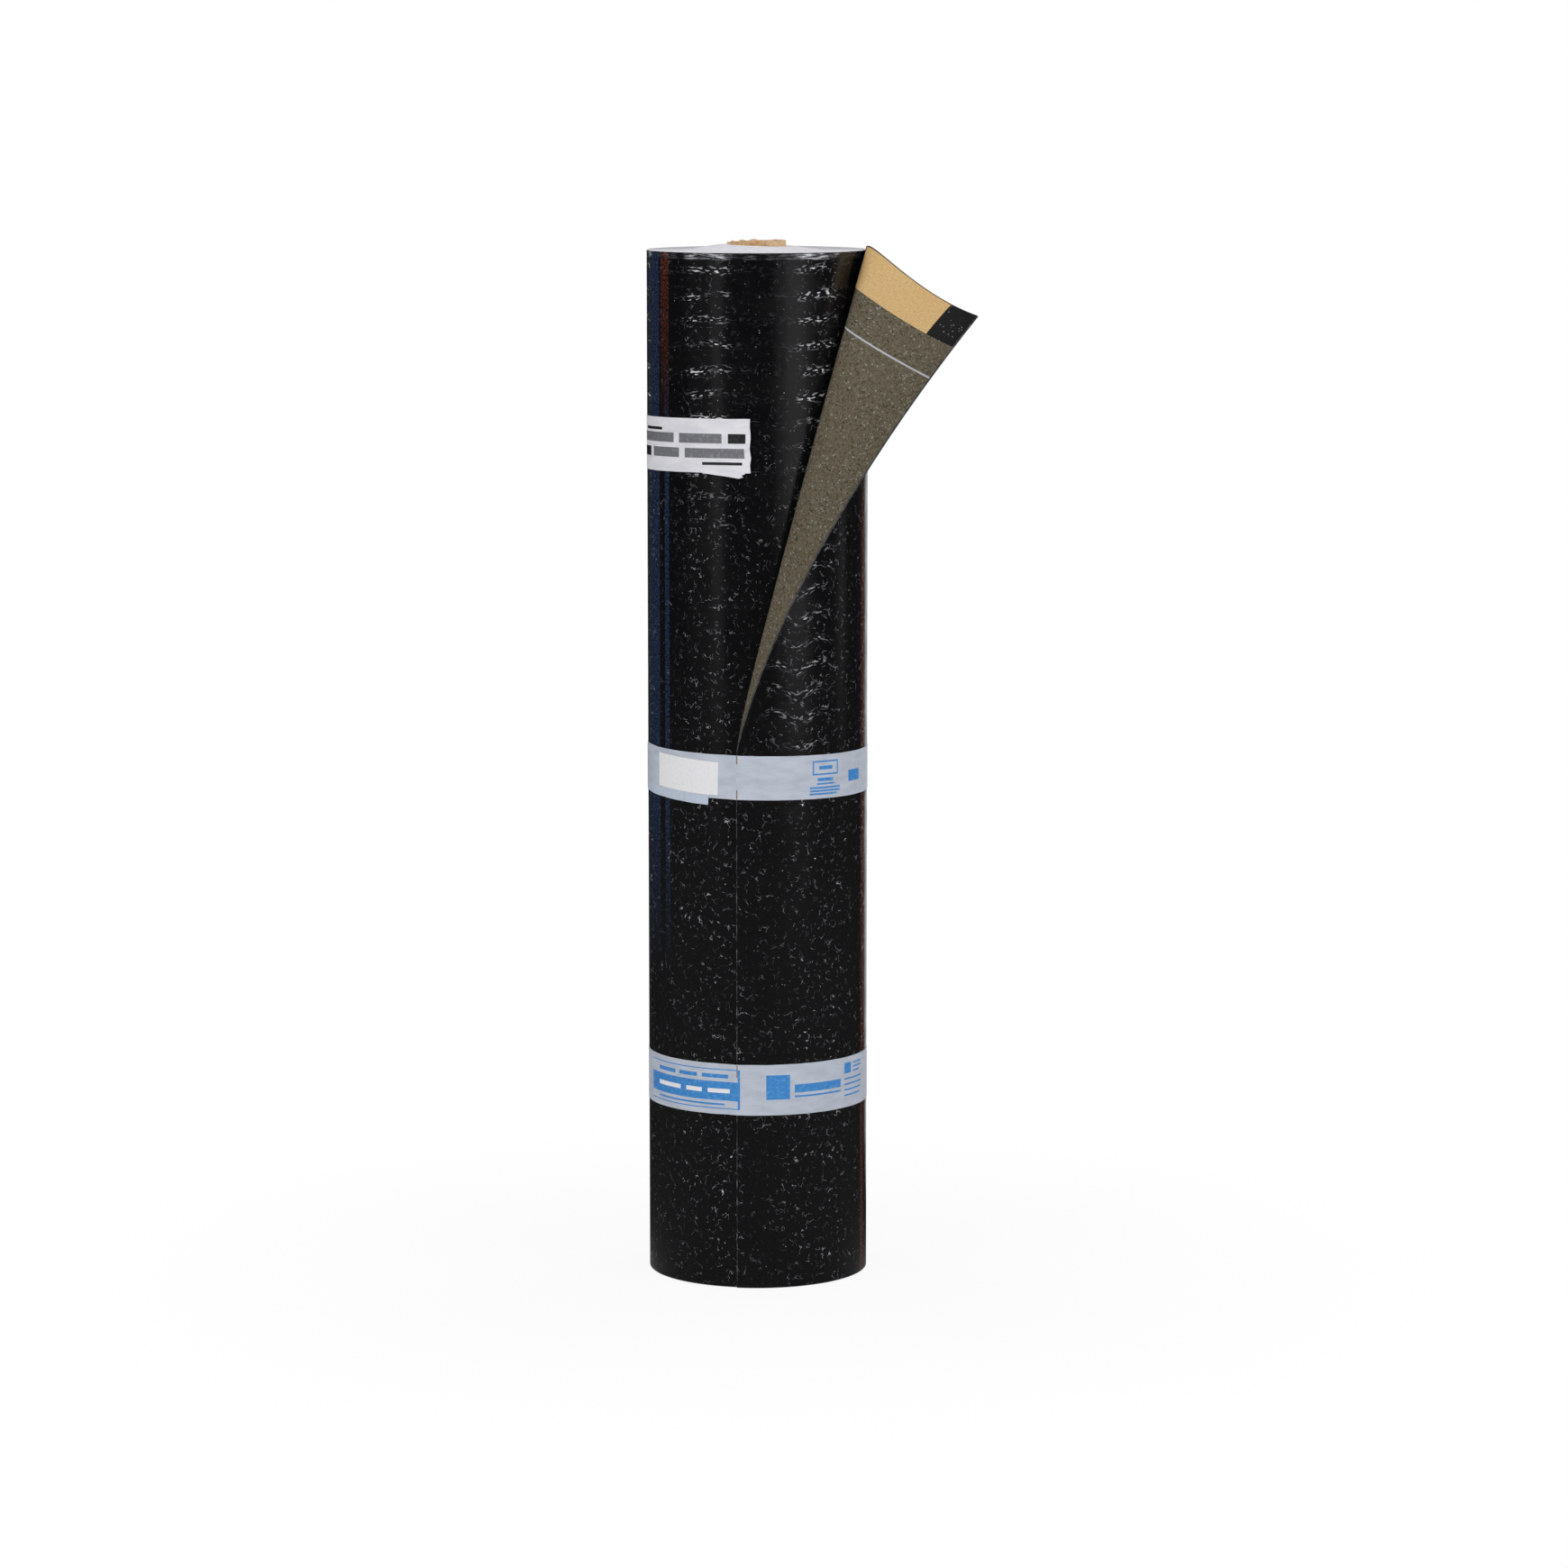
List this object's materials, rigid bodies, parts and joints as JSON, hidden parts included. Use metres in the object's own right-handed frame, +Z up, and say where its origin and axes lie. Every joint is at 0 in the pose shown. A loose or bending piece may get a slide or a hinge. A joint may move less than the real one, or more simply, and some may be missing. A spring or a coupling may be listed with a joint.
{
  "type": "roll of waterproofing membrane",
  "caption": "Standing roll of black bituminous waterproofing membrane on a cardboard core, with its outer lap's top corner peeled back and bound by printed tapes.",
  "frame": {"origin": "on the roll's axis at the height of its lower end, which is the face it stands on", "axes": "+Z up along the roll's axis to its top end, -Y towards the front where the free edge is, +X to the right where the peeled corner points"},
  "size_m": [0.3168, 0.2538, 1.009],
  "materials": {
    "bitumen_sheet": "glossy black film over bitumen outside, dull sanded face inside",
    "cardboard_core": "wound brown board with a torn edge",
    "release_strip": "matt tan release film",
    "white_tape": "white adhesive tape with grey print",
    "grey_tape": "pale grey translucent tape with blue print"
  },
  "bodies": {
    "root": {"membrane": "bitumen_sheet", "core_tube": "cardboard_core", "release_film": "release_strip", "label_tape": "white_tape", "middle_tape": "grey_tape", "bottom_tape": "grey_tape"}
  },
  "joints": []
}
